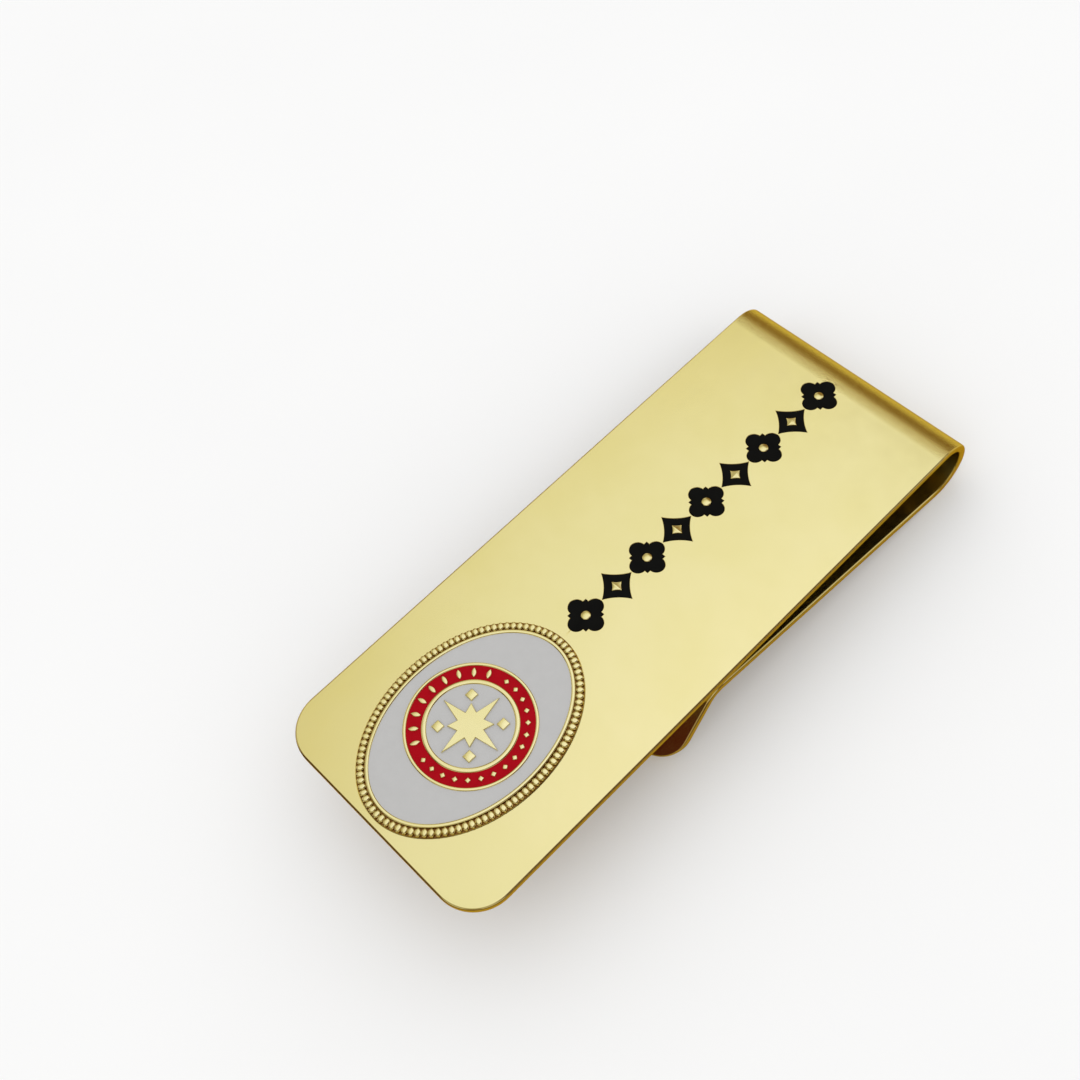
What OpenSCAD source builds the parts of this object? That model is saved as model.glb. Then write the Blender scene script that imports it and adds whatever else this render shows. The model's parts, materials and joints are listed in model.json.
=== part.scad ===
// Money clip: one springy strip folded back on itself, with an enamelled medallion
// bonded to its face and a row of enamel-filled ornaments along the middle.
//
// The shape is drawn in the strip's own frame: X runs from the free end to the bend,
// Y across the strip, and Z = 0 is the face's upper surface. stand() then sets the clip
// on its two resting lines, the bend and the tip of the lip, with its origin at the
// middle of its footprint.

/* [Strip] */
// Length from the free end to the outside of the bend
clip_len = 63.5; // [60:0.5:70]
// Width of the strip
strip_w = 25.4; // [22:0.1:30]
// Thickness of the sheet metal
strip_t = 0.8; // [0.6:0.05:1]
// Radius of the round corners
corner_r = 4; // [2:0.5:6]
// Outside radius of the bend
bend_r = 3.3; // [3.3:0.1:4]

/* [Leg] */
// Distance from the free end to the neck, where the leg comes closest to the face
neck_x = 29.4; // [27:0.1:32]
// Gap left between the leg and the face at the neck
neck_gap = 0.12; // [0.05:0.01:0.3]
// Radius of the neck on its hollow side
neck_r = 1.6; // [1:0.1:3]
// Angle between the flared lip and the face
lip_angle = 50.8; // [40:0.1:60]
// Length of the lip's flat part
lip_len = 8.4; // [7:0.1:10]

/* [Medallion] */
// Distance from the free end to the medallion's centre
medal_x = 11.85; // [11.6:0.05:12.4]
// Offset of the medallion's centre across the strip
medal_y = 0.2; // [-0.5:0.1:0.5]
// Half length of the whole medallion
medal_rx = 11.25; // [11.1:0.05:11.4]
// Half width of the whole medallion
medal_ry = 8.17; // [8.05:0.01:8.3]
// Half length of the enamelled oval
field_rx = 10.1; // [9.9:0.05:10.1]
// Half width of the enamelled oval
field_ry = 7; // [6.8:0.05:7]
// Width of the smooth rim around the enamelled oval
rim_w = 0.35; // [0.3:0.01:0.35]
// Number of beads in the border
bead_count = 102; // [90:1:102]
// Radius of one bead
bead_r = 0.28; // [0.22:0.01:0.28]
// Outer radius of the outer gold ring
ring_r = 5.95; // [5.8:0.01:6.1]
// Outer radius of the red band
red_outer_r = 5.64; // [5.55:0.01:5.7]
// Inner radius of the red band
red_inner_r = 4.32; // [4.25:0.01:4.4]
// Radius of the centre disc
centre_r = 3.87; // [3.8:0.01:4]
// Number of small diamonds on the lower part of the red band
diamond_count = 16; // [12:1:17]
// Number of small leaves on the upper part of the red band
leaf_count = 9; // [6:1:9]

/* [Ornament band] */
// Distance from the free end to the first ornament's centre
ornament_x = 26.15; // [26:0.05:26.5]
// Distance from the last ornament's centre to the start of the bend
ornament_margin = 2.35; // [2.2:0.05:3]
// Offset of the row across the strip
ornament_y = 0.45; // [-0.5:0.05:0.5]
// Depth of the pockets that hold the enamel
pocket_depth = 0.3; // [0.2:0.05:0.4]

/* [Hidden] */
$fn = 96;
// Overlap that joins stacked solids of one piece
bite = 0.02;

// Bend centre and neck centre, as [x, z] in the strip's frame
bend_c = [clip_len - bend_r, -bend_r];
neck_c = [neck_x, -2 * strip_t - neck_gap - neck_r];
// Slope of the leg, whose outer face is tangent to the bend and to the neck
span = bend_c - neck_c;
leg_slope = asin((bend_r + neck_r) / norm(span)) - atan2(span[1], span[0]);
bend_sweep = 180 + leg_slope;

// A point at radius r and angle a from centre c
function polar(c, r, a) = c + r * [cos(a), sin(a)];
// Points of an arc, counted in equal steps
function arc(c, r, from, to, steps = 14) =
    [for (i = [0:steps]) polar(c, r, from + (to - from) * i / steps)];

// Start and tip of the lip's outer face
lip_start = polar(neck_c, neck_r, 90 + lip_angle);
lip_tip = lip_start - lip_len * [cos(lip_angle), sin(lip_angle)];

// Tilt at rest: the floor passes through the lip's tip and is tangent to the bend
tip_to_bend = bend_c - lip_tip;
rest_tilt = atan2(tip_to_bend[1], tip_to_bend[0]) - asin(bend_r / norm(tip_to_bend));
// Position of a strip point [x, z] once the clip is tilted
function tilted(p) = [
    p[0] * cos(rest_tilt) + p[1] * sin(rest_tilt),
    p[1] * cos(rest_tilt) - p[0] * sin(rest_tilt)
];
floor_z = tilted(lip_tip)[1];
free_end_x = tilted([0, -strip_t])[0];
bend_end_x = tilted(bend_c)[0] + bend_r;
middle_x = (free_end_x + bend_end_x) / 2;

// Heights in the medallion, above the strip's face
seat_depth = 0.15;
seat_clearance = 0.05;
bond_t = 0.05;
web_top = 0.1;
enamel_top = 0.28;
rim_top = 0.35;
emblem_top = 0.4;
// Enamel of the ornaments stops this far below the strip's face
ornament_sink = 0.04;
// Number of ornaments, one node each, and the distance between their centres
ornament_count = 9;
ornament_pitch = (bend_c[0] - ornament_margin - ornament_x) / (ornament_count - 1);
// Height of every ornament, and the width of a lozenge
ornament_h = ornament_pitch * 0.985;
lozenge_w = ornament_pitch * 0.96;
// Quatrefoil: its lobes, the square whose corners show between them, and its gold eye
lobe_r = ornament_h * 0.2;
lobe_at = ornament_h / 2 - lobe_r;
barb_square = ornament_h * 0.58;
eye_r = ornament_h * 0.115;
// Lozenge: depth of its hollow sides against their length, and the size of its gold heart
hollow = 0.07;
heart_scale = 0.36;
// Hollow sides cross this far inside the tips, so that the tips are clean
tip_trim = 0.02;

// Emblem: a star of eight points between four small lozenges
star_r = 3.45;
star_waist_r = 1.25;
short_point_r = 2.05;
lozenge_r = 0.58;
lozenge_at = 2.85;
// Motifs of the red band: the angles between them, and their sizes
band_middle_r = (red_outer_r + red_inner_r) / 2;
diamond_step = 13;
diamond_r = 0.27;
leaf_step = 15.5;
leaf_len = 0.96;
leaf_w = 0.42;

// The beads stand on an oval line, evenly spaced along its length, just inside the edge
bead_inset = 0.03;
bead_rx = medal_rx - bead_r - bead_inset;
bead_ry = medal_ry - bead_r - bead_inset;
function oval_speed(a) = norm([bead_rx * sin(a), bead_ry * cos(a)]);
bead_path = [
    for (a = 0, s = 0; a <= 360; s = s + (oval_speed(a) + oval_speed(a + 1)) * PI / 360, a = a + 1)
        [s, a]
];
bead_path_len = bead_path[360][0];

// Colours
gold = [0.86, 0.76, 0.42];
struck_gold = [0.9, 0.8, 0.45];
bond_colour = [0.55, 0.5, 0.4];
grey = [0.76, 0.76, 0.75];
crimson = [0.72, 0.04, 0.13];
black = [0.06, 0.06, 0.04];

// Places the strip's frame on the floor, at rest
module stand() {
    translate([-middle_x, 0, -floor_z])
        rotate([0, rest_tilt, 0])
            children();
}

// A solid of constant side profile, given as [x, z] points, across the strip's width
module across(points) {
    translate([0, strip_w / 2, 0])
        rotate([90, 0, 0])
            linear_extrude(strip_w)
                polygon(points);
}

// A flat tab of a given length along +X, with round corners at the far end
module tab(length) {
    translate([0, -strip_w / 2])
        square([length - corner_r, strip_w]);
    translate([0, corner_r - strip_w / 2])
        square([length, strip_w - 2 * corner_r]);
    for (side = [-1, 1])
        translate([length - corner_r, side * (strip_w / 2 - corner_r)])
            circle(corner_r);
}

// A solid slab between two heights
module slab(bottom, top) {
    translate([0, 0, bottom])
        linear_extrude(top - bottom)
            children();
}

// Outline of an oval, as a many-sided polygon
module oval(rx, ry) {
    polygon([for (a = [0:3:357]) [rx * cos(a), ry * sin(a)]]);
}

module ring(outer_r, inner_r) {
    difference() {
        circle(outer_r);
        circle(inner_r);
    }
}

// A pointed leaf that lies along X, with its middle at the origin
module leaf(length, width) {
    swell_r = (length * length + width * width) / (4 * width);
    intersection_for(side = [-1, 1])
        translate([0, side * (swell_r - width / 2)])
            circle(swell_r);
}

// A lozenge whose sides are hollowed by arcs between its tips
module hollow_lozenge(half_x, half_y) {
    side = norm([half_x, half_y]);
    depth = side * hollow;
    arc_r = (side * side / 4 + depth * depth) / (2 * depth);
    difference() {
        polygon([[half_x, 0], [0, half_y], [-half_x, 0], [0, -half_y]]);
        for (sx = [-1, 1], sy = [-1, 1])
            translate([
                sx * (half_x / 2 + (arc_r - depth) * half_y / side),
                sy * (half_y / 2 + (arc_r - depth) * half_x / side)
            ])
                circle(arc_r + tip_trim);
    }
}

// Quatrefoil with a square's corners between its lobes, around a gold eye
module quatrefoil_ornament() {
    difference() {
        union() {
            square(barb_square, center = true);
            for (turn = [0:90:270])
                rotate(turn)
                    translate([lobe_at, 0])
                        circle(lobe_r);
        }
        circle(eye_r);
    }
}

// A tall hollow-sided lozenge around a gold heart of the same shape
module lozenge_ornament() {
    difference() {
        hollow_lozenge(lozenge_w / 2, ornament_h / 2);
        hollow_lozenge(lozenge_w / 2 * heart_scale, ornament_h / 2 * heart_scale);
    }
}

// Outline of ornament number i, counted from 0, at its place on the strip
module ornament_outline(i) {
    translate([ornament_x + i * ornament_pitch, ornament_y])
        if (i % 2 == 0)
            quatrefoil_ornament();
        else
            lozenge_ornament();
}

module at_medallion() {
    translate([medal_x, medal_y, 0])
        children();
}

module dome(r) {
    rotate_extrude()
        intersection() {
            circle(r);
            square(r);
        }
}

// Outline of the raised star in the centre disc
module emblem_outline() {
    points = [for (i = [0:15]) polar([0, 0],
        i % 2 == 1 ? star_waist_r : (i % 4 == 0 ? star_r : short_point_r), i * 22.5)];
    polygon(points);
    for (turn = [45:90:315])
        rotate(turn)
            translate([lozenge_at, 0])
                circle(lozenge_r, $fn = 4);
}

// Angle of motif number i of a row that is centred on the given angle
function row_angle(i, count, step, middle) = middle + (i - (count - 1) / 2) * step;

// Outlines of the raised motifs on the red band: leaves above, diamonds below
module band_motifs_outline() {
    for (i = [0:leaf_count - 1])
        rotate(row_angle(i, leaf_count, leaf_step, 90))
            translate([band_middle_r, 0])
                leaf(leaf_len, leaf_w);
    for (i = [0:diamond_count - 1])
        rotate(row_angle(i, diamond_count, diamond_step, -90))
            translate([band_middle_r, 0])
                circle(diamond_r, $fn = 4);
}

// Flat face of the clip, with the medallion's seat and the ornament pockets
module front_plate() {
    color(gold)
        stand()
            difference() {
                translate([bend_c[0], 0, 0])
                    mirror([1, 0, 0])
                        slab(-strip_t, 0)
                            tab(bend_c[0]);
                at_medallion()
                    slab(-seat_depth, 1)
                        oval(medal_rx + seat_clearance, medal_ry + seat_clearance);
                slab(-pocket_depth, 1)
                    for (i = [0:ornament_count - 1])
                        ornament_outline(i);
            }
}

// Half-round bend that joins the face to the leg and stores the spring force
module spring_bend() {
    color(gold)
        stand()
            translate([bend_c[0], 0, bend_c[1]])
                rotate([90, 0, 0])
                    rotate(90 - bend_sweep)
                        rotate_extrude(angle = bend_sweep)
                            translate([bend_r - strip_t, -strip_w / 2])
                                square([strip_t, strip_w]);
}

// Straight sprung leg, neck and flared lip
module back_leg() {
    end_a = 270 - leg_slope;
    inner_r = bend_r - strip_t;
    color(gold)
        stand()
            union() {
                across(concat(
                    [polar(bend_c, inner_r, end_a)],
                    arc(neck_c, neck_r + strip_t, 90 - leg_slope, 90 + lip_angle),
                    arc(neck_c, neck_r, 90 + lip_angle, 90 - leg_slope),
                    [polar(bend_c, bend_r, end_a)]
                ));
                translate([lip_start[0], 0, lip_start[1]])
                    rotate([0, 180 - lip_angle, 0])
                        mirror([0, 0, 1])
                            slab(0, strip_t)
                                tab(lip_len);
            }
}

// Struck metal medallion: web, rim, bead border, rings, band motifs and star
module medallion_base() {
    color(struck_gold)
        stand()
            at_medallion() {
                slab(bond_t - seat_depth, web_top)
                    oval(medal_rx, medal_ry);
                slab(web_top - bite, rim_top)
                    difference() {
                        oval(field_rx + rim_w, field_ry + rim_w);
                        oval(field_rx, field_ry);
                    }
                slab(web_top - bite, rim_top) {
                    ring(ring_r, red_outer_r);
                    ring(red_inner_r, centre_r);
                    band_motifs_outline();
                }
                slab(web_top - bite, emblem_top)
                    emblem_outline();
                for (i = [0:bead_count - 1]) {
                    a = lookup(bead_path_len * i / bead_count, bead_path);
                    translate([bead_rx * cos(a), bead_ry * sin(a), web_top - bite])
                        dome(bead_r);
                }
            }
}

// Film that bonds the medallion into its seat
module medallion_bond() {
    color(bond_colour)
        stand()
            at_medallion()
                slab(-seat_depth, bond_t - seat_depth)
                    oval(medal_rx, medal_ry);
}

// Grey enamel of the oval field
module field_enamel() {
    color(grey)
        stand()
            at_medallion()
                slab(web_top, enamel_top)
                    difference() {
                        oval(field_rx, field_ry);
                        circle(ring_r);
                    }
}

// Red enamel between the two rings
module ring_enamel() {
    color(crimson)
        stand()
            at_medallion()
                slab(web_top, enamel_top)
                    difference() {
                        ring(red_outer_r, red_inner_r);
                        band_motifs_outline();
                    }
}

// Grey enamel around the star
module centre_enamel() {
    color(grey)
        stand()
            at_medallion()
                slab(web_top, enamel_top)
                    difference() {
                        circle(centre_r);
                        emblem_outline();
                    }
}

// Black enamel in ornament pocket number i, counted from 1
module ornament(i) {
    color(black)
        stand()
            slab(-pocket_depth, -ornament_sink)
                ornament_outline(i - 1);
}

front_plate();
spring_bend();
back_leg();
medallion_base();
medallion_bond();
field_enamel();
ring_enamel();
centre_enamel();
ornament(1);  // ornament_1
ornament(2);  // ornament_2
ornament(3);  // ornament_3
ornament(4);  // ornament_4
ornament(5);  // ornament_5
ornament(6);  // ornament_6
ornament(7);  // ornament_7
ornament(8);  // ornament_8
ornament(9);  // ornament_9
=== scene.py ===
"""Money clip: the visual model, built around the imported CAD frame.

Everything is modelled in millimetres in the strip's own frame, as in the CAD source: X runs from
the free end to the bend, Y across the strip, and Z = 0 is the decorated face. TO_ROW then takes a
mesh to the row frame, in metres. The sheet is drawn as one flat blank and bent along its path, so
its face, bend and leg meet exactly.
"""
import json
import math

import bmesh
import bpy
import numpy as np
from mathutils import Matrix, Vector


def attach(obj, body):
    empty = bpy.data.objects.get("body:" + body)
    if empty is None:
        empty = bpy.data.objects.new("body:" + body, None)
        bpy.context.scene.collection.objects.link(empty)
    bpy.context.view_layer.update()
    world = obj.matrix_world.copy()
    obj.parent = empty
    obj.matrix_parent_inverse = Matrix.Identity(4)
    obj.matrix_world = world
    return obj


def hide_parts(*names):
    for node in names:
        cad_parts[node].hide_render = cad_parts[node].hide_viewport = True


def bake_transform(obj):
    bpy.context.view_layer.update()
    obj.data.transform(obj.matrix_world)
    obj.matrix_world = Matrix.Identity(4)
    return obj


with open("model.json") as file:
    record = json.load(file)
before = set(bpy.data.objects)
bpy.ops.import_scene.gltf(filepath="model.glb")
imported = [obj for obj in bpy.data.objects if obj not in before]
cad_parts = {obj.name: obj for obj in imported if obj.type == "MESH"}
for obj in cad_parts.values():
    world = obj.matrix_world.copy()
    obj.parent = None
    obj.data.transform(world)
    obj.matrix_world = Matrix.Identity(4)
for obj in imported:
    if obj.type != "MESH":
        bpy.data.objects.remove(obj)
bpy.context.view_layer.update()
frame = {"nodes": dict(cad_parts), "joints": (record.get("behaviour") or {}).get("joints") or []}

# ---------------------------------------------------------------- dimensions, in millimetres
CLIP_LEN = 63.5
STRIP_W = 25.4
STRIP_T = 0.8
CORNER_R = 4.0
BEND_R = 3.3
NECK_X = 29.4
NECK_GAP = 0.12
NECK_R = 1.6
LIP_ANGLE = math.radians(50.8)
LIP_LEN = 8.4
EDGE_R = 0.17

MEDAL_X, MEDAL_Y = 11.85, 0.2
MEDAL_RX, MEDAL_RY = 11.25, 8.17
FIELD_RX, FIELD_RY = 10.1, 7.0
RIM_W = 0.35
RING_R = 5.95
RED_OUTER_R, RED_INNER_R = 5.64, 4.32
CENTRE_R = 3.87
BEAD_COUNT = 102
BEAD_HEIGHT, BEAD_REACH, BEAD_HALF_W, BEAD_ROW = 0.255, 0.385, 0.295, 0.4
BEAD_AROUND, BEAD_BLUNTNESS, BEAD_FOOT = 20, 4.4, 0.08
BEAD_RINGS = (0.08, 0.3, 0.5, 0.66, 0.78, 0.87, 0.94, 0.985, 1)
BAND_MIDDLE_R = (RED_OUTER_R + RED_INNER_R) / 2
DIAMOND_COUNT, DIAMOND_STEP, DIAMOND_R = 16, math.radians(13), 0.27
LEAF_COUNT, LEAF_STEP = 9, math.radians(15.5)
LEAF_LEN, LEAF_W = 0.96, 0.42
STAR_RADII = (3.45, 1.25, 2.05, 1.25)
LOZENGE_R, LOZENGE_AT = 0.58, 2.85
SEAT_DEPTH, SEAT_GAP, BOND_T = 0.15, 0.03, 0.05
WEB_TOP = 0.1
ENAMEL_TOP = 0.28
RIM_TOP = 0.35
EMBLEM_TOP = 0.4
MOTIF_EDGE_R, WALL_EDGE_R = 0.05, 0.07
ENAMEL_SAG, ENAMEL_CLIMB = 0.02, 0.03
# How an enamel fill climbs its walls, as (distance from the wall, share of the climb)
ENAMEL_EDGE = ((0, 1), (0.06, 0.45), (0.14, 0.15), (0.28, 0))
FIELD_FILL_W, CENTRE_HOLE_R = 4.0, 0.3

ORNAMENT_COUNT = 9
ORNAMENT_X, ORNAMENT_Y = 26.15, 0.45
ORNAMENT_MARGIN = 2.35
ORNAMENT_PITCH = (CLIP_LEN - BEND_R - ORNAMENT_MARGIN - ORNAMENT_X) / (ORNAMENT_COUNT - 1)
ORNAMENT_H, LOZENGE_W = ORNAMENT_PITCH * 0.985, ORNAMENT_PITCH * 0.96
LOBE_R, BARB_SQUARE, EYE_R = ORNAMENT_H * 0.2, ORNAMENT_H * 0.58, ORNAMENT_H * 0.115
HOLLOW, HEART_SCALE, TIP_TRIM = 0.07, 0.36, 0.02
POCKET_DEPTH = 0.3
ORNAMENT_SINK = 0.04
# How the face rounds off into the pockets and the seat, as (inset, height), above the face first
POCKET_LIP = [(-0.09, 0.05), (-0.05, 0.0), (-0.022, -0.012), (-0.006, -0.032), (0, -0.06)]
SEAT_LIP = [(-0.03, 0.05), (-0.02, 0.0), (0, -0.02)]
# How far a black fill lies below the line where it meets its wall, at distances from the wall
FILL_SAG = [(0, 0), (0.03, 0.012), (0.08, 0.02), (0.18, 0.026)]

# Flat metal that the bend's piece keeps at each end, so that its seams lie on flat faces
BEND_LAP = 0.3


def unit(angle):
    return np.array([math.cos(angle), math.sin(angle)])


# ---------------------------------------------------------------- the strip's path
BEND_C = np.array([CLIP_LEN - BEND_R, -BEND_R])
NECK_C = np.array([NECK_X, -2 * STRIP_T - NECK_GAP - NECK_R])
SPAN = BEND_C - NECK_C
LEG_SLOPE = math.asin((BEND_R + NECK_R) / np.linalg.norm(SPAN)) - math.atan2(SPAN[1], SPAN[0])
BEND_SWEEP = math.pi + LEG_SLOPE
BEND_END = BEND_C + BEND_R * unit(1.5 * math.pi - LEG_SLOPE)
NECK_START = NECK_C + NECK_R * unit(0.5 * math.pi - LEG_SLOPE)
LIP_START = NECK_C + NECK_R * unit(0.5 * math.pi + LIP_ANGLE)
LIP_TIP = LIP_START + LIP_LEN * unit(math.pi + LIP_ANGLE)

# Lengths along the middle of the sheet, from the free end
U_BEND = CLIP_LEN - BEND_R
U_LEG = U_BEND + (BEND_R - STRIP_T / 2) * BEND_SWEEP
U_NECK = U_LEG + float(np.linalg.norm(NECK_START - BEND_END))
U_LIP = U_NECK + (NECK_R + STRIP_T / 2) * (LEG_SLOPE + LIP_ANGLE)
U_TIP = U_LIP + LIP_LEN

# Tilt at rest, when the clip lies on its bend and on the tip of its lip
TIP_TO_BEND = BEND_C - LIP_TIP
TILT = math.atan2(TIP_TO_BEND[1], TIP_TO_BEND[0]) - math.asin(BEND_R / np.linalg.norm(TIP_TO_BEND))
TURN = Matrix.Rotation(TILT, 4, "Y")
HINGE = Vector(frame["joints"][0]["pos_m"])
ORIGIN = HINGE - TURN @ Vector((BEND_C[0], 0, BEND_C[1])) * 0.001
TO_ROW = Matrix.Translation(ORIGIN) @ TURN @ Matrix.Scale(0.001, 4)


def along_strip(u):
    """Point of the sheet's outer surface and its outward normal, both as (x, z), at length u."""
    if u <= U_BEND:
        return np.array([u, 0.0]), np.array([0.0, 1.0])
    if u <= U_LEG:
        normal = unit(0.5 * math.pi - (u - U_BEND) / (BEND_R - STRIP_T / 2))
        return BEND_C + BEND_R * normal, normal
    if u <= U_NECK:
        return BEND_END + (u - U_LEG) * unit(math.pi - LEG_SLOPE), unit(1.5 * math.pi - LEG_SLOPE)
    if u <= U_LIP:
        spoke = unit(0.5 * math.pi - LEG_SLOPE + (u - U_NECK) / (NECK_R + STRIP_T / 2))
        return NECK_C + NECK_R * spoke, -spoke
    return LIP_START + (u - U_LIP) * unit(math.pi + LIP_ANGLE), unit(1.5 * math.pi + LIP_ANGLE)


# ---------------------------------------------------------------- outlines, as lists of (x, y)
def arc_points(cx, cy, r, start, end, steps):
    return [
        (cx + r * math.cos(a), cy + r * math.sin(a))
        for a in np.linspace(math.radians(start), math.radians(end), steps + 1)
    ]


def oval_points(rx, ry, steps=240):
    return [
        (rx * math.cos(a), ry * math.sin(a))
        for a in (2 * math.pi * i / steps for i in range(steps))
    ]


def blank_outline():
    """The flat blank: a strip with four round corners, anticlockwise."""
    half = STRIP_W / 2 - CORNER_R
    points = []
    for cx, cy, start in (
        (U_TIP - CORNER_R, half, 0),
        (CORNER_R, half, 90),
        (CORNER_R, -half, 180),
        (U_TIP - CORNER_R, -half, 270),
    ):
        points += arc_points(cx, cy, CORNER_R, start, start + 90, 24)
    return points


def polar_shape(radius, steps=360):
    """A star-shaped outline, from its radius at each angle and the distance that it grows by."""
    turns = [2 * math.pi * i / steps for i in range(steps)]
    return lambda distance=0: [tuple(radius(a, -distance) * unit(a)) for a in turns]


def quatrefoil_radius(angle, grow):
    """Four lobes on the axes, with a square's corners between them."""
    half, at, r = BARB_SQUARE / 2 + grow, ORNAMENT_H / 2 - LOBE_R, LOBE_R + grow
    reach = half / max(abs(math.cos(angle)), abs(math.sin(angle)))
    away = (angle + math.pi / 4) % (math.pi / 2) - math.pi / 4
    inside = r * r - (at * math.sin(away)) ** 2
    return max(reach, at * math.cos(away) + math.sqrt(inside)) if inside > 0 else reach


def lozenge_radius(angle, grow, scale=1.0):
    """A lozenge whose sides are hollowed by arcs between its tips: its edge or an arc's."""
    half_x, half_y = LOZENGE_W / 2 * scale, ORNAMENT_H / 2 * scale
    side = math.hypot(half_x, half_y)
    depth = side * HOLLOW
    arc_r = (side * side / 4 + depth * depth) / (2 * depth)
    cx = half_x / 2 + (arc_r - depth) * half_y / side
    cy = half_y / 2 + (arc_r - depth) * half_x / side
    arc_r += TIP_TRIM - grow
    c, s = abs(math.cos(angle)), abs(math.sin(angle))
    reach = 1 / (c / (half_x + grow) + s / (half_y + grow))
    middle = c * cx + s * cy
    inside = middle * middle - (cx * cx + cy * cy - arc_r * arc_r)
    return min(reach, middle - math.sqrt(inside)) if inside > 0 else reach


def star_outline():
    """A star of eight points, the four on the axes long."""
    return [tuple(STAR_RADII[i % 4] * unit(i * math.pi / 8)) for i in range(16)]


def lozenge_outline(r, turn):
    return [tuple(r * unit(turn + k * math.pi / 2)) for k in range(4)]


def leaf_outline(length, width, turn, steps=10):
    """A pointed leaf with its middle at the origin, between two arcs."""
    swell_r = (length * length + width * width) / (4 * width)
    reach = math.asin(length / 2 / swell_r)
    points = []
    for side in (1, -1):
        for k in range(steps):
            a = side * math.pi / 2 + reach * (2 * k / steps - 1)
            x, y = swell_r * math.cos(a), swell_r * math.sin(a) - side * (swell_r - width / 2)
            points.append((x * math.cos(turn) - y * math.sin(turn),
                           x * math.sin(turn) + y * math.cos(turn)))
    return points


def inset(points, distance):
    """The outline moved inwards by a distance, or outwards by a negative one, with mitred corners."""
    if distance == 0:
        return list(points)
    p = np.array(points)
    edge = np.roll(p, -1, axis=0) - p
    edge /= np.linalg.norm(edge, axis=1)[:, None]
    inward = np.stack([-edge[:, 1], edge[:, 0]], axis=1)
    before = np.roll(inward, 1, axis=0)
    mitre = (inward + before) / (1 + (inward * before).sum(axis=1))[:, None]
    return [tuple(q) for q in p + distance * mitre]


# ---------------------------------------------------------------- solids
def bridge(bm, rings, closed):
    """Faces between rings of vertices that follow each other, with quads all round."""
    count = len(rings[0])
    pairs = list(zip(rings, rings[1:]))
    if closed:
        pairs.append((rings[-1], rings[0]))
    for upper, lower in pairs:
        for i in range(count):
            j = (i + 1) % count
            bm.faces.new((upper[i], lower[i], lower[j], upper[j]))


def add_slab(bm, shape, section, at=(0, 0)):
    """A slab whose edge follows a section of (inset, height), from its top to its bottom.

    The shape is an outline, or a function that gives the outline at an inset.
    """
    outline_at = shape if callable(shape) else lambda distance: inset(shape, distance)
    rings = [
        [bm.verts.new((x + at[0], y + at[1], height)) for x, y in outline_at(distance)]
        for distance, height in section
    ]
    bridge(bm, rings, closed=False)
    bm.faces.new(rings[0])
    bm.faces.new(list(reversed(rings[-1])))


def rounded(top, bottom, r, steps=5, foot=True):
    """Section of a slab with round edges; with foot=False only the upper edge is round."""
    turns = [i * math.pi / 2 / steps for i in range(steps + 1)]
    upper = [(r - r * math.sin(a), top - r + r * math.cos(a)) for a in turns]
    if not foot:
        return upper + [(0, bottom)]
    return upper + [(d, top + bottom - h) for d, h in reversed(upper)]


def add_ring(bm, inner, outer, section, at=(0, 0)):
    """A closed ring between two outlines; its section is a loop of (share of the width, height)."""
    rings = []
    for share, height in section:
        rings.append([
            bm.verts.new((
                at[0] + a[0] + share * (b[0] - a[0]),
                at[1] + a[1] + share * (b[1] - a[1]),
                height,
            ))
            for a, b in zip(inner, outer)
        ])
    bridge(bm, rings, closed=True)


def add_collar(bm, outer, heart, section, centre):
    """A closed solid between an outline and the heart inside it; both edges have the section."""
    mirrored = [(-distance, height) for distance, height in reversed(section)]
    rings = [
        [bm.verts.new((x + centre[0], y + centre[1], height)) for x, y in shape(distance)]
        for shape, part in ((outer, section), (heart, mirrored))
        for distance, height in part
    ]
    bridge(bm, rings, closed=True)


def bead_places():
    """Points and directions of the beads, evenly spaced along their oval."""
    rx, ry = MEDAL_RX - BEAD_ROW, MEDAL_RY - BEAD_ROW
    turn = np.linspace(0, 2 * math.pi, 3601)
    step = np.hypot(rx * np.sin(turn), ry * np.cos(turn))
    length = np.concatenate([[0], np.cumsum((step[1:] + step[:-1]) / 2)])
    for i in range(BEAD_COUNT):
        a = float(np.interp(length[-1] * i / BEAD_COUNT, length, turn))
        outward = math.atan2(rx * math.sin(a), ry * math.cos(a))
        yield rx * math.cos(a), ry * math.sin(a), outward


def add_bead(bm, x, y, outward):
    """A bead: a blunt dome that fills the border across and just touches the next, on a foot."""
    c, s = math.cos(outward), math.sin(outward)
    section = [
        (spread, WEB_TOP + BEAD_HEIGHT * (1 - spread ** BEAD_BLUNTNESS) ** (1 / BEAD_BLUNTNESS))
        for spread in BEAD_RINGS
    ]
    section.append((1.001, WEB_TOP - BEAD_FOOT))
    rings = []
    for spread, height in section:
        ring = []
        for i in range(BEAD_AROUND):
            turn = unit(2 * math.pi * i / BEAD_AROUND)
            px, py = np.array([BEAD_REACH, BEAD_HALF_W]) * spread * turn
            ring.append(bm.verts.new((x + px * c - py * s, y + px * s + py * c, height)))
        rings.append(ring)
    bridge(bm, rings, closed=False)
    bm.faces.new(rings[0])
    bm.faces.new(list(reversed(rings[-1])))


# ---------------------------------------------------------------- from mesh to placed piece
def make_object(name, bm, material, slot):
    """A smooth-shaded object in the row frame, with its material."""
    bmesh.ops.recalc_face_normals(bm, faces=bm.faces)
    bm.transform(TO_ROW)
    mesh = bpy.data.meshes.new(name)
    bm.to_mesh(mesh)
    bm.free()
    mesh.shade_smooth()
    mesh.materials.append(material)
    piece = bpy.data.objects.new(name, mesh)
    bpy.context.scene.collection.objects.link(piece)
    return piece


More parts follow.
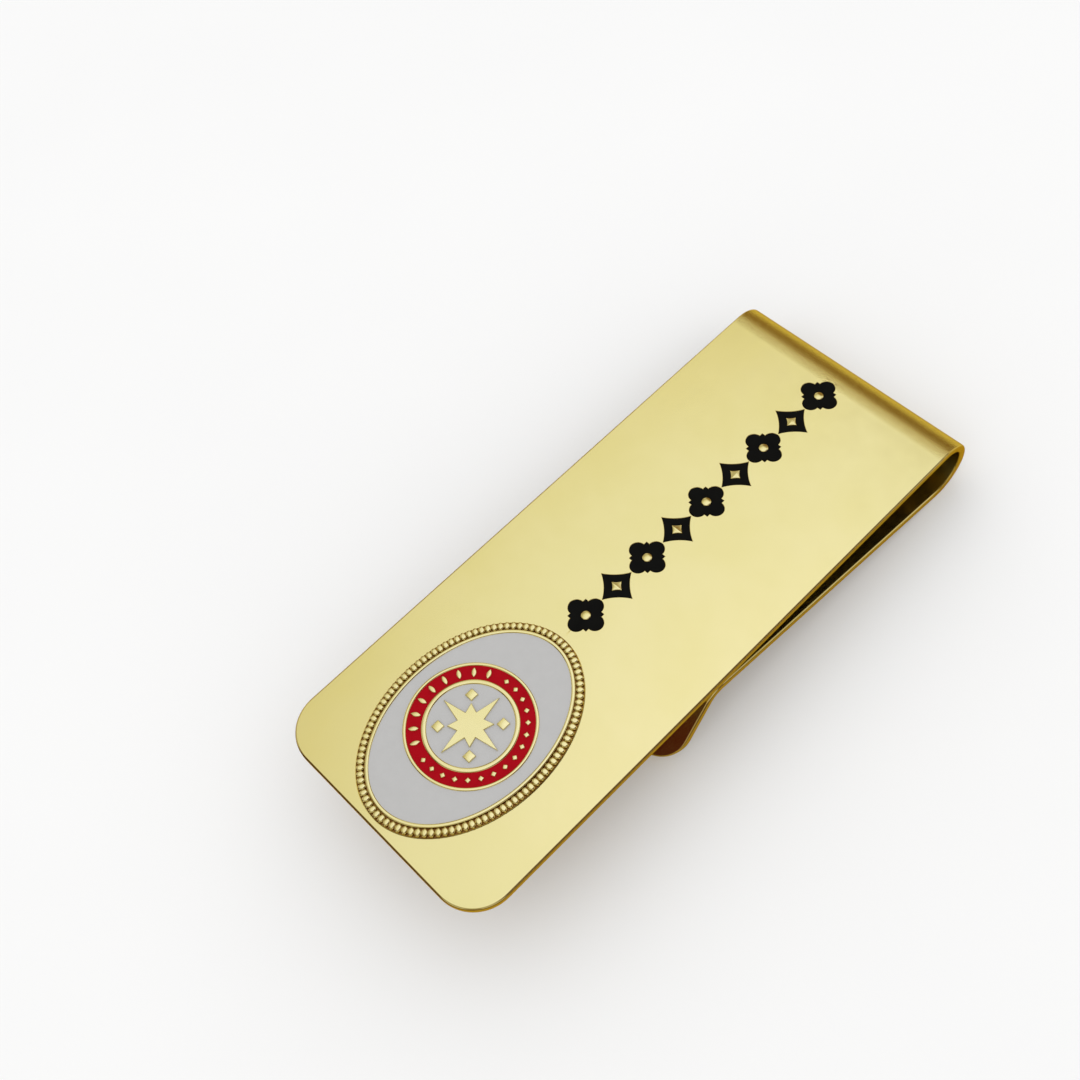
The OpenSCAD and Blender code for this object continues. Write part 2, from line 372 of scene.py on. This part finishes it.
def keep_flats(piece, angle=math.radians(38)):
    """Sharp edges stay sharp, and large faces set the normals of the small round ones."""
    piece.data.set_sharp_from_angle(angle=angle)
    weigh = piece.modifiers.new("flats", "WEIGHTED_NORMAL")
    weigh.mode = "FACE_AREA"
    weigh.weight = 100
    weigh.keep_sharp = True


def cut(bm, u, drop=0):
    """Cuts the blank across at length u; drop = 1 throws away what is beyond, -1 what is before."""
    geom = bm.verts[:] + bm.edges[:] + bm.faces[:]
    bmesh.ops.bisect_plane(bm, geom=geom, dist=1e-6, plane_co=(u, 0, 0), plane_no=(1, 0, 0),
                           clear_outer=drop == 1, clear_inner=drop == -1)
    if drop:
        open_edges = [e for e in bm.edges if e.is_boundary]
        bmesh.ops.holes_fill(bm, edges=open_edges, sides=0)


def strip_blank(start, end, creases=()):
    """The blank between two lengths, still flat, with extra cuts where it will bend."""
    bm = bmesh.new()
    add_slab(bm, blank_outline(), rounded(0, -STRIP_T, EDGE_R))
    if end is not None:
        cut(bm, end, drop=1)
    if start is not None:
        cut(bm, start, drop=-1)
    for u in creases:
        cut(bm, u)
    return bm


def unroll_map(bm):
    """Keeps each point's place on the flat blank as its UV, in centimetres."""
    layer = bm.loops.layers.uv.new("blank")
    for face in bm.faces:
        for loop in face.loops:
            loop[layer].uv = (loop.vert.co.x / 10, loop.vert.co.y / 10)


def relief_map(bm):
    """Keeps each point's height above the face as its UV, in millimetres."""
    layer = bm.loops.layers.uv.new("relief")
    for face in bm.faces:
        for loop in face.loops:
            loop[layer].uv = (loop.vert.co.z, 0)


def bend_blank(bm):
    for vert in bm.verts:
        point, normal = along_strip(vert.co.x)
        x, z = point + vert.co.z * normal
        vert.co = (x, vert.co.y, z)


# ---------------------------------------------------------------- materials
def node_adder(tree):
    """A short way to add a node to a tree and set its inputs."""
    def add(kind, **inputs):
        node = tree.nodes.new(kind)
        for key, value in inputs.items():
            node.inputs[key.replace("_", " ")].default_value = value
        return node

    return add


def node_maker(name):
    """A new material, with its tree, its shader and a short way to add a node."""
    material = bpy.data.materials.new(name)
    material.use_nodes = True
    tree = material.node_tree
    return material, tree, tree.nodes["Principled BSDF"], node_adder(tree)


def maths(tree, add, operation, first, second):
    """One Math node on two outputs; the second may also be a number."""
    node = add("ShaderNodeMath")
    node.operation = operation
    tree.links.new(first, node.inputs[0])
    if isinstance(second, bpy.types.NodeSocket):
        tree.links.new(second, node.inputs[1])
    else:
        node.inputs[1].default_value = second
    return node.outputs["Value"]


def noise(tree, add, coordinates, scale, detail=3.0, roughness=0.5, stretch=(1, 1, 1)):
    """Noise of a number of cells per coordinate unit, drawn out along the axes by stretch."""
    mapping = add("ShaderNodeMapping", Scale=stretch)
    tree.links.new(coordinates, mapping.inputs["Vector"])
    node = add("ShaderNodeTexNoise", Scale=scale, Detail=detail, Roughness=roughness)
    tree.links.new(mapping.outputs["Vector"], node.inputs["Vector"])
    return node.outputs["Fac"]


def remap(tree, add, value, low, high, to_low, to_high, soft=False):
    node = add("ShaderNodeMapRange")
    node.interpolation_type = "SMOOTHSTEP" if soft else "LINEAR"
    for key, number in zip(("From Min", "From Max", "To Min", "To Max"),
                           (low, high, to_low, to_high)):
        node.inputs[key].default_value = number
    tree.links.new(value, node.inputs["Value"])
    return node.outputs["Result"]


def blend_colours(tree, value, low, high):
    ramp = tree.nodes.new("ShaderNodeValToRGB")
    ramp.color_ramp.elements[0].color = (*low, 1)
    ramp.color_ramp.elements[1].color = (*high, 1)
    tree.links.new(value, ramp.inputs["Fac"])
    return ramp.outputs["Color"]


def mix(tree, factor, first, second, blend="MIX"):
    """From the first colour to the second; each is the output of a node or a constant."""
    node = tree.nodes.new("ShaderNodeMix")
    node.data_type, node.blend_type = "RGBA", blend
    tree.links.new(factor, node.inputs["Factor"])
    for slot, colour in (("A", first), ("B", second)):
        if isinstance(colour, bpy.types.NodeSocket):
            tree.links.new(colour, node.inputs[slot])
        else:
            node.inputs[slot].default_value = (*colour, 1)
    return node.outputs["Result"]


def bumps(tree, add, shader, layers):
    """Chained bump nodes, each from (height, strength, depth in millimetres).

    A strength may also be the output of a node.
    """
    normal = None
    for height, strength, depth in layers:
        node = add("ShaderNodeBump", Distance=depth * 0.001)
        if isinstance(strength, bpy.types.NodeSocket):
            tree.links.new(strength, node.inputs["Strength"])
        else:
            node.inputs["Strength"].default_value = strength
        tree.links.new(height, node.inputs["Height"])
        if normal is not None:
            tree.links.new(normal, node.inputs["Normal"])
        normal = node.outputs["Normal"]
    tree.links.new(normal, shader.inputs["Normal"])


def object_coordinates(tree, add):
    """Coordinates that run over 1 per millimetre of the object."""
    source = add("ShaderNodeTexCoord")
    scale = add("ShaderNodeVectorMath")
    scale.operation = "SCALE"
    scale.inputs["Scale"].default_value = 1000
    tree.links.new(source.outputs["Object"], scale.inputs[0])
    return scale.outputs["Vector"]


def blank_coordinates(tree, add):
    """Place on the flat blank in millimetres, so that textures run on round the bend."""
    source = add("ShaderNodeUVMap")
    source.uv_map = "blank"
    scale = add("ShaderNodeVectorMath")
    scale.operation = "SCALE"
    scale.inputs["Scale"].default_value = 10
    tree.links.new(source.outputs["UV"], scale.inputs[0])
    return scale.outputs["Vector"]


def bend_zone(tree, add, place, fade, full):
    """1 on the bend, fading to 0 on the flat metal next to it.

    It is 1 from the distance full and 0 from the distance fade, in millimetres outwards from the
    bend's two ends; a negative distance lies inside the bend.
    """
    split = add("ShaderNodeSeparateXYZ")
    tree.links.new(place, split.inputs["Vector"])
    rise = remap(tree, add, split.outputs["X"], U_BEND - fade, U_BEND - full, 0, 1)
    fall = remap(tree, add, split.outputs["X"], U_LEG + full, U_LEG + fade, 1, 0)
    return maths(tree, add, "MULTIPLY", rise, fall)


def hollow_shade_mask(tree, add):
    """Where the hollows get painted shade: 1 on the web and the feet of the beads, 0 on raised
    metal and on the outer edge.
    """
    source = add("ShaderNodeUVMap")
    source.uv_map = "relief"
    split = add("ShaderNodeSeparateXYZ")
    tree.links.new(source.outputs["UV"], split.inputs["Vector"])
    inside = remap(tree, add, split.outputs["X"], WEB_TOP - 0.03, WEB_TOP - 0.005, 0, 1)
    below = remap(tree, add, split.outputs["X"], WEB_TOP, WEB_TOP + 0.07, 1, 0)
    return maths(tree, add, "MULTIPLY", inside, below)


# Painted shade: a darker, more saturated colour on the bend, and a near-black one in the
# hollows between the beads
BEND_PAINTED_SHADE, HOLLOW_PAINTED_SHADE = (0.80, 0.65, 0.18), (0.2, 0.09, 0.02)
# Where the bend's painted shade and the pebbled surface end beside the bend: the fade and full
# of its zone
BEND_SHADE_FADE, PEBBLE_FADE = (0.9, -0.5), (0.9, 0.1)


def gold(name, deep, pale, roughness, grain, hairline=0.0):
    """Polished gold plate: soft mottling and a fine grain.

    With a hairline strength it is the strip's: faint polishing lines along the blank, and on the
    bend a painted shade, darker and more saturated, and the slightly pebbled surface of stretched
    plate. Without, it is the medallion's, with painted shade in the hollows of its low relief.
    """
    material, tree, shader, add = node_maker(name)
    place = (blank_coordinates if hairline else object_coordinates)(tree, add)
    mottle = noise(tree, add, place, 0.12, detail=4)
    colour = blend_colours(tree, remap(tree, add, mottle, 0.35, 0.65, 0, 1), deep, pale)
    # Painted shade: darker on the bend, near-black in the hollows of the medallion's relief
    depth = bend_zone(tree, add, place, *BEND_SHADE_FADE) if hairline else hollow_shade_mask(tree, add)
    colour_with_painted_shade = mix(tree, depth, colour, BEND_PAINTED_SHADE if hairline else HOLLOW_PAINTED_SHADE)
    tree.links.new(colour_with_painted_shade, shader.inputs["Base Color"])
    shader.inputs["Metallic"].default_value = 1
    shader.inputs["Specular Tint"].default_value = (1, 0.85, 0.38, 1)
    cloud = noise(tree, add, place, 0.5, detail=5, roughness=0.6)
    tree.links.new(remap(tree, add, cloud, 0.3, 0.7, *roughness), shader.inputs["Roughness"])
    fine = noise(tree, add, place, 9, detail=2)
    layers = [(fine, grain, 0.01)]
    if hairline:
        lines = noise(tree, add, place, 4, detail=4, roughness=0.7, stretch=(0.06, 4, 4))
        pebbles = noise(tree, add, place, 6.5, detail=3, roughness=0.6, stretch=(1.2, 0.9, 1))
        pebbled = bend_zone(tree, add, place, *PEBBLE_FADE)
        layers += [(lines, hairline, 0.01), (pebbles, pebbled, 0.04)]
    bumps(tree, add, shader, layers)
    return material


def enamel(name, low, high, roughness, coat=0.0, specular=0.5, grain=0.1, grain_scale=12.0):
    """Cured enamel: pigment that is slightly uneven, with a fine surface of its own."""
    material, tree, shader, add = node_maker(name)
    place = object_coordinates(tree, add)
    pigment = noise(tree, add, place, 1.1, detail=5, roughness=0.65)
    colour = blend_colours(tree, remap(tree, add, pigment, 0.3, 0.7, 0, 1), low, high)
    tree.links.new(colour, shader.inputs["Base Color"])
    haze = noise(tree, add, place, 2.2, detail=3)
    tree.links.new(remap(tree, add, haze, 0.3, 0.7, *roughness), shader.inputs["Roughness"])
    shader.inputs["Specular IOR Level"].default_value = specular
    shader.inputs["Coat Weight"].default_value = coat
    shader.inputs["Coat Roughness"].default_value = 0.06
    fine = noise(tree, add, place, grain_scale, detail=2)
    swell = noise(tree, add, place, 1.6, detail=1)
    bumps(tree, add, shader, [(fine, grain, 0.01), (swell, 0.08, 0.02)])
    return material


# Painted reflections: what polished metal sees in place of the floor is a warm colour, darker far
# away, with painted shade before the free end and beside the near long edge and a painted pale
# patch of light beyond the bend. A zone goes by X, Y or the distance from the clip's middle; then
# come where it starts and is full, and its colour.
REFLECTED_FLOOR = (0.46, 0.32, 0.055)
REFLECTED_FLOOR_ZONES = (
    ("Away", 70, 140, (0.07, 0.03, 0.006)),
    ("X", -36, -46, (0.05, 0.013, 0.003)),
    ("Y", -17, -21, (0.09, 0.035, 0.006)),
    ("X", 34, 42, (0.66, 0.58, 0.34)),
)


def pale_floor():
    """A pale floor, which metal sees with painted reflections and shade in its place; distances are
    in millimetres.
    """
    material, tree, shader, add = node_maker("floor_pale")
    place = object_coordinates(tree, add)
    cloud = noise(tree, add, place, 0.02, detail=3)
    pale = blend_colours(tree, cloud, (0.84, 0.84, 0.84), (0.88, 0.88, 0.875))
    split = add("ShaderNodeSeparateXYZ")
    tree.links.new(place, split.inputs["Vector"])
    reach = add("ShaderNodeVectorMath")
    reach.operation = "LENGTH"
    tree.links.new(place, reach.inputs[0])
    measures = {
        "X": split.outputs["X"], "Y": split.outputs["Y"], "Away": reach.outputs["Value"],
    }
    reflected_floor = REFLECTED_FLOOR
    # Painted shade before the free end and beside the near long edge, and a painted pale patch of
    # light beyond the bend, which only glossy rays see
    for measure, start, full, colour in REFLECTED_FLOOR_ZONES:
        factor = remap(tree, add, measures[measure], start, full, 0, 1, soft=True)
        reflected_floor = mix(tree, factor, reflected_floor, colour)
    mirrored = add("ShaderNodeLightPath").outputs["Is Glossy Ray"]
    tree.links.new(mix(tree, mirrored, pale, reflected_floor), shader.inputs["Base Color"])
    shader.inputs["Roughness"].default_value = 0.75
    shader.inputs["Specular IOR Level"].default_value = 0.2
    return material


strip_gold = gold("strip_gold", (0.875, 0.775, 0.335), (0.895, 0.795, 0.365), (0.1, 0.16), 0.05, 0.04)
medal_gold = gold("medal_gold", (0.90, 0.80, 0.36), (0.95, 0.86, 0.43), (0.1, 0.17), 0.1)
bond_resin = enamel("bond_resin", (0.30, 0.25, 0.16), (0.42, 0.36, 0.25), (0.5, 0.7))
grey_enamel = enamel("grey_enamel", (0.450, 0.446, 0.438), (0.468, 0.464, 0.456), (0.42, 0.48),
                     coat=0.1, grain=0.2, grain_scale=9)
red_enamel = enamel("red_enamel", (0.32, 0.001, 0.006), (0.37, 0.002, 0.008), (0.25, 0.35),
                    specular=0.04)
black_enamel = enamel("black_enamel", (0.001, 0.001, 0.0006), (0.003, 0.003, 0.002), (0.3, 0.4),
                      specular=0.07)


# ---------------------------------------------------------------- the strip
def ornament_places():
    """Number, outer shape, gold heart and centre of each ornament, from the medallion on."""
    quatrefoil = (polar_shape(quatrefoil_radius), polar_shape(lambda angle, grow: EYE_R + grow))
    lozenge = (polar_shape(lozenge_radius),
               polar_shape(lambda angle, grow: lozenge_radius(angle, grow, HEART_SCALE)))
    for i in range(ORNAMENT_COUNT):
        outer, heart = quatrefoil if i % 2 == 0 else lozenge
        yield i + 1, outer, heart, (ORNAMENT_X + i * ORNAMENT_PITCH, ORNAMENT_Y)


def pocket_cutters():
    """What is cut from the face: the ornaments' pockets, with soft lips, and the medallion's seat."""
    bm = bmesh.new()
    for _, outer, heart, centre in ornament_places():
        add_collar(bm, outer, heart, POCKET_LIP + [(0, -POCKET_DEPTH)], centre)
    seat = oval_points(MEDAL_RX + SEAT_GAP, MEDAL_RY + SEAT_GAP)
    add_slab(bm, seat, SEAT_LIP + [(0, -SEAT_DEPTH)], (MEDAL_X, MEDAL_Y))
    mesh = bpy.data.meshes.new("cutters")
    bm.to_mesh(mesh)
    bm.free()
    return bpy.data.objects.new("cutters", mesh)


def cut_pockets(bm):
    """The blank with its pockets cut out, as a new bmesh."""
    mesh = bpy.data.meshes.new("blank")
    bm.to_mesh(mesh)
    bm.free()
    blank = bpy.data.objects.new("blank", mesh)
    cutters = pocket_cutters()
    for part in (blank, cutters):
        bpy.context.scene.collection.objects.link(part)
    boolean = blank.modifiers.new("pockets", "BOOLEAN")
    boolean.operation = "DIFFERENCE"
    boolean.solver = "EXACT"
    boolean.object = cutters
    bpy.context.view_layer.update()
    result = bmesh.new()
    result.from_mesh(blank.evaluated_get(bpy.context.evaluated_depsgraph_get()).to_mesh())
    for part in (blank, cutters):
        bpy.data.objects.remove(part)
    return result


def build_face():
    bm = cut_pockets(strip_blank(None, U_BEND - BEND_LAP))
    unroll_map(bm)
    face = make_object("clip_face", bm, strip_gold, "gold_plate")
    keep_flats(face)
    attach(face, "face")
    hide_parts("front_plate")


def build_bend():
    creases = list(np.linspace(U_BEND, U_LEG, 73))
    bm = strip_blank(U_BEND - BEND_LAP, U_LEG + BEND_LAP, creases)
    unroll_map(bm)
    bend_blank(bm)
    bend = make_object("clip_bend", bm, strip_gold, "gold_plate")
    keep_flats(bend)
    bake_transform(bend)
    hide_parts("spring_bend")


def build_leg():
    creases = list(np.linspace(U_NECK, U_LIP, 25))
    bm = strip_blank(U_LEG + BEND_LAP, None, creases)
    unroll_map(bm)
    bend_blank(bm)
    leg = make_object("clip_leg", bm, strip_gold, "gold_plate")
    keep_flats(leg)
    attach(leg, "leg")
    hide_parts("back_leg")


# ---------------------------------------------------------------- the medallion
def soft_wall(bottom, top, r=0.3, steps=4):
    """Section of a raised wall, from its inner foot over a flat top to its outer foot.

    Its upper corners are round, over a share r of the width on each side.
    """
    turns = [i * math.pi / 2 / steps for i in range(steps + 1)]
    outer = [(1 - r + r * math.cos(a), top - WALL_EDGE_R * (1 - math.sin(a))) for a in turns]
    return [(1, bottom), *outer, *((1 - share, h) for share, h in reversed(outer)), (0, bottom)]


def medal_motifs():
    """Outline, place and height of each raised motif, from the medallion's centre."""
    for i in range(LEAF_COUNT):
        turn = math.pi / 2 + (i - (LEAF_COUNT - 1) / 2) * LEAF_STEP
        yield leaf_outline(LEAF_LEN, LEAF_W, turn), BAND_MIDDLE_R * unit(turn), RIM_TOP
    for i in range(DIAMOND_COUNT):
        turn = -math.pi / 2 + (i - (DIAMOND_COUNT - 1) / 2) * DIAMOND_STEP
        yield lozenge_outline(DIAMOND_R, turn), BAND_MIDDLE_R * unit(turn), RIM_TOP
    for i in range(4):
        turn = (i + 0.5) * math.pi / 2
        yield lozenge_outline(LOZENGE_R, turn), LOZENGE_AT * unit(turn), EMBLEM_TOP
    yield star_outline(), (0, 0), EMBLEM_TOP


def build_medallion():
    at = (MEDAL_X, MEDAL_Y)
    bm = bmesh.new()
    add_slab(bm, oval_points(MEDAL_RX, MEDAL_RY), rounded(WEB_TOP, BOND_T - SEAT_DEPTH, MOTIF_EDGE_R),
             at)
    for inner, outer in (
        ((FIELD_RX, FIELD_RY), (FIELD_RX + RIM_W, FIELD_RY + RIM_W)),
        ((RED_OUTER_R, RED_OUTER_R), (RING_R, RING_R)),
        ((CENTRE_R, CENTRE_R), (RED_INNER_R, RED_INNER_R)),
    ):
        add_ring(bm, oval_points(*inner), oval_points(*outer), soft_wall(0, RIM_TOP), at)
    for x, y, outward in bead_places():
        add_bead(bm, x + at[0], y + at[1], outward)
    for outline, (x, y), top in medal_motifs():
        add_slab(bm, outline, rounded(top, 0, MOTIF_EDGE_R, 3, foot=False),
                 (x + at[0], y + at[1]))
    relief_map(bm)
    medallion = make_object("medallion", bm, medal_gold, "struck_gold")
    keep_flats(medallion)
    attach(medallion, "face")
    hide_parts("medallion_base")
    bond = frame["nodes"]["medallion_bond"]
    bond.data.materials.clear()
    bond.data.materials.append(bond_resin)


def enamel_section(top, bottom, width):
    """Section of an enamel fill that climbs its walls; width is the fill's width."""
    near = [(distance / width, top + ENAMEL_CLIMB * share) for distance, share in ENAMEL_EDGE]
    far = [(1 - share, height) for share, height in near]
    return [(1, bottom), *far, *reversed(near), (0, bottom)]


def build_enamels():
    at = (MEDAL_X, MEDAL_Y)
    for name, node, inner, outer, width, material, slot in (
        ("field_fill", "field_enamel", oval_points(RING_R, RING_R),
         oval_points(FIELD_RX, FIELD_RY), FIELD_FILL_W, grey_enamel, "grey_enamel"),
        ("ring_fill", "ring_enamel", oval_points(RED_INNER_R, RED_INNER_R),
         oval_points(RED_OUTER_R, RED_OUTER_R), RED_OUTER_R - RED_INNER_R, red_enamel, "red_enamel"),
        ("centre_fill", "centre_enamel", oval_points(CENTRE_HOLE_R, CENTRE_HOLE_R),
         oval_points(CENTRE_R, CENTRE_R), CENTRE_R, grey_enamel, "grey_enamel"),
    ):
        bm = bmesh.new()
        section = enamel_section(ENAMEL_TOP - ENAMEL_SAG, WEB_TOP, width)
        add_ring(bm, inner, outer, section, at)
        fill = make_object(name, bm, material, slot)
        keep_flats(fill)
        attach(fill, "face")
        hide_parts(node)


def build_ornaments():
    """Black fills that climb their pocket walls a little, each around its gold heart."""
    surface = [(distance, -ORNAMENT_SINK - sag) for distance, sag in FILL_SAG]
    for number, outer, heart, centre in ornament_places():
        bm = bmesh.new()
        add_collar(bm, outer, heart, [(0, -POCKET_DEPTH)] + surface, centre)
        fill = make_object(f"ornament_fill_{number}", bm, black_enamel, "black_enamel")
        keep_flats(fill)
        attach(fill, "face")
        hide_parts(f"ornament_{number}")


# ---------------------------------------------------------------- stage, lights and camera
def build_stage():
    bpy.ops.mesh.primitive_plane_add(size=6)
    floor = bpy.context.object
    floor.name = "floor"
    floor.data.materials.append(pale_floor())


# Direction of the overhead panel
PANEL_AXIS = (0.33, 0.1, 0.94)
# Light of the panel and of the tent round it, as (degrees from the axis, colour)
PANEL_STOPS = (
    (38, (0, 0, 0)), (31, (0.16, 0.17, 0.15)), (25, (0.47, 0.49, 0.44)),
    (18, (0.60, 0.67, 0.83)), (11, (0.70, 0.76, 1.0)),
)
TENT_STOPS = (
    (90, (0.34, 0.23, 0.12)), (80, (0.58, 0.47, 0.31)), (62, (0.72, 0.68, 0.59)),
    (46, (0.36, 0.31, 0.22)), (25, (0.30, 0.25, 0.16)),
)
TENT_PANELS, TENT_GAP_SHADE = 5, (0.42, 0.33, 0.2)
# Strength of the white dome, for matt surfaces and as the camera sees it behind the floor
DOME_LIGHT, DOME_SEEN = 1.12, 0.95
# Dark flags that the metal reflects: which directions each covers, and what it lets through. In
# this order they shade the bend, the near long edge, the free end and the lip.
FLAGS = (
    ({"X": (0.535, 0.65, 1.0, 1.1), "Y": (0.05, 0.22, 0.52, 0.68)}, (0.40, 0.27, 0.12)),
    ({"X": (-0.1, 0.1, 0.5, 0.7), "Y": (-0.95, -0.75, -0.05, 0.1), "Z": (0.42, 0.52, 1.0, 1.1)},
     (0.14, 0.06, 0.02)),
    ({"X": (-1.1, -0.95, -0.42, -0.3), "Y": (0.2, 0.34, 0.54, 0.7)}, (0.3, 0.2, 0.1)),
    ({"X": (-1.2, -1.1, -0.85, -0.7), "Y": (0.02, 0.14, 0.5, 0.62), "Z": (-0.2, -0.1, 0.2, 0.34)},
     (0.2, 0.045, 0.02)),
)


def glow(tree, add, direction, axis, stops):
    """Light that depends on the angle to an axis: stops are (angle in degrees, colour)."""
    dot = add("ShaderNodeVectorMath")
    dot.operation = "DOT_PRODUCT"
    dot.inputs[1].default_value = Vector(axis).normalized()
    tree.links.new(direction, dot.inputs[0])
    ramp = add("ShaderNodeValToRGB")
    ramp.color_ramp.interpolation = "EASE"
    elements = ramp.color_ramp.elements
    while len(elements) < len(stops):
        elements.new(0.5)
    for element, (angle, colour) in zip(elements, sorted(stops, reverse=True)):
        element.position = 0.5 + 0.5 * math.cos(math.radians(angle))
        element.color = (*colour, 1)
    tree.links.new(remap(tree, add, dot.outputs["Value"], -1, 1, 0, 1), ramp.inputs["Fac"])
    return ramp.outputs["Color"]


def zone(tree, add, split, limits):
    """1 inside soft limits on the direction, 0 outside: axis and the four turns of its edges."""
    factor = None
    for axis, (start, full, waning, end) in limits.items():
        rise = remap(tree, add, split.outputs[axis], start, full, 0, 1, soft=True)
        fall = remap(tree, add, split.outputs[axis], waning, end, 1, 0, soft=True)
        both = maths(tree, add, "MULTIPLY", rise, fall)
        factor = both if factor is None else maths(tree, add, "MULTIPLY", factor, both)
    return factor


def tent_gaps(tree, add, split):
    """1 in the gaps between the soft panels that stand around the clip, 0 on the panels."""
    azimuth = maths(tree, add, "ARCTAN2", split.outputs["Y"], split.outputs["X"])
    wave = maths(tree, add, "COSINE", maths(tree, add, "MULTIPLY", azimuth, TENT_PANELS), 0)
    gaps = remap(tree, add, wave, 0.0, 0.85, 0, 1, soft=True)
    low_down = remap(tree, add, split.outputs["Z"], 0.55, 0.75, 1, 0, soft=True)
    return maths(tree, add, "MULTIPLY", gaps, low_down)


def build_world():
    """A white dome for matt surfaces; metal sees a soft tent with a panel and dark flags."""
    world = bpy.data.worlds.new("studio")
    bpy.context.scene.world = world
    world.use_nodes = True
    tree = world.node_tree
    add = node_adder(tree)
    direction = add("ShaderNodeTexCoord").outputs["Generated"]
    split = add("ShaderNodeSeparateXYZ")
    tree.links.new(direction, split.inputs["Vector"])
    tent = glow(tree, add, direction, (0, 0, 1), TENT_STOPS)
    panel = glow(tree, add, direction, PANEL_AXIS, PANEL_STOPS)
    lit = add("ShaderNodeVectorMath")
    tree.links.new(tent, lit.inputs[0])
    tree.links.new(panel, lit.inputs[1])
    light = lit.outputs["Vector"]
    shades = [(tent_gaps(tree, add, split), TENT_GAP_SHADE)]
    shades += [(zone(tree, add, split, limits), shade) for limits, shade in FLAGS]
    for factor, shade in shades:
        light = mix(tree, factor, light, shade, "MULTIPLY")
    studio = add("ShaderNodeBackground")
    tree.links.new(light, studio.inputs["Color"])
    path = add("ShaderNodeLightPath")
    dome = add("ShaderNodeBackground", Color=(1, 1, 1, 1))
    tree.links.new(remap(tree, add, path.outputs["Is Camera Ray"], 0, 1, DOME_LIGHT, DOME_SEEN),
                   dome.inputs["Strength"])
    choose = add("ShaderNodeMixShader")
    tree.links.new(path.outputs["Is Glossy Ray"], choose.inputs["Fac"])
    tree.links.new(dome.outputs["Background"], choose.inputs[1])
    tree.links.new(studio.outputs["Background"], choose.inputs[2])
    tree.links.new(choose.outputs["Shader"], tree.nodes["World Output"].inputs["Surface"])


# The viewpoint in the strip's frame: azimuth, elevation and roll, the point of the face that is
# looked at, how far away the camera is, and its focal length on a sensor 36 mm wide
VIEW_ANGLES = (-32.99, 58.51, -13.25)
VIEW_TARGET, VIEW_DISTANCE = (28.85, 9.07, 0), 128.14
FOCAL_LENGTH = 46.38


def build_camera():
    azimuth, elevation, roll = (math.radians(a) for a in VIEW_ANGLES)
    turn = (Matrix.Rotation(azimuth, 4, "Z") @ Matrix.Rotation(math.pi / 2 - elevation, 4, "X")
            @ Matrix.Rotation(roll, 4, "Z"))
    place = Vector(VIEW_TARGET) + turn.col[2].to_3d() * VIEW_DISTANCE
    data = bpy.data.cameras.new("camera")
    data.sensor_width = 36
    data.lens = FOCAL_LENGTH
    data.clip_start = 0.005
    camera = bpy.data.objects.new("camera", data)
    bpy.context.scene.collection.objects.link(camera)
    camera.matrix_world = Matrix.Translation(TO_ROW @ place) @ TURN @ turn
    bpy.context.scene.camera = camera


build_camera()
build_stage()
build_world()
build_face()
build_bend()
build_leg()
build_medallion()
build_enamels()
build_ornaments()

bpy.context.scene.view_settings.view_transform = "Standard"
